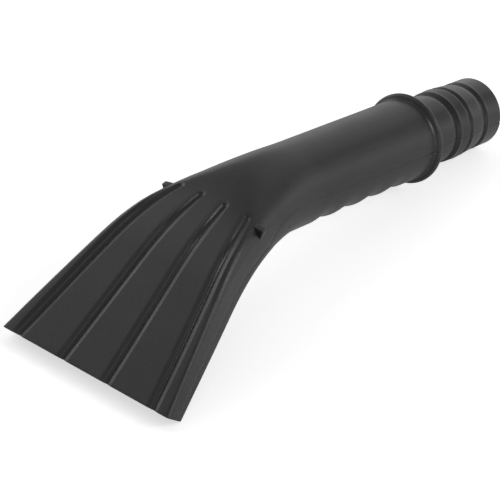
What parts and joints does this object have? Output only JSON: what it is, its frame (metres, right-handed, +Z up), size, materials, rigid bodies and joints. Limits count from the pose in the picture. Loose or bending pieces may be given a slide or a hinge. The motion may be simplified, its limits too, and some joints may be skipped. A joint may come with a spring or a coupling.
{
  "type": "claw nozzle for a utility vacuum",
  "caption": "One-piece moulded hand nozzle: barbed hose end, collar, grip with finger waves underneath, bent neck and a wide flat grooved mouth.",
  "frame": {"origin": "bottom centre of the bounding box, on the floor that the nozzle rests on", "axes": "+X from the hose end towards the mouth, +Y across the nozzle to its left-hand side, +Z up from the floor"},
  "size_m": [0.32, 0.1102, 0.0688],
  "materials": {
    "nozzle": "charcoal black moulded plastic, satin with a fine grain, slightly glossy on worn edges"
  },
  "bodies": {
    "root": {"nozzle": "nozzle"}
  },
  "joints": []
}
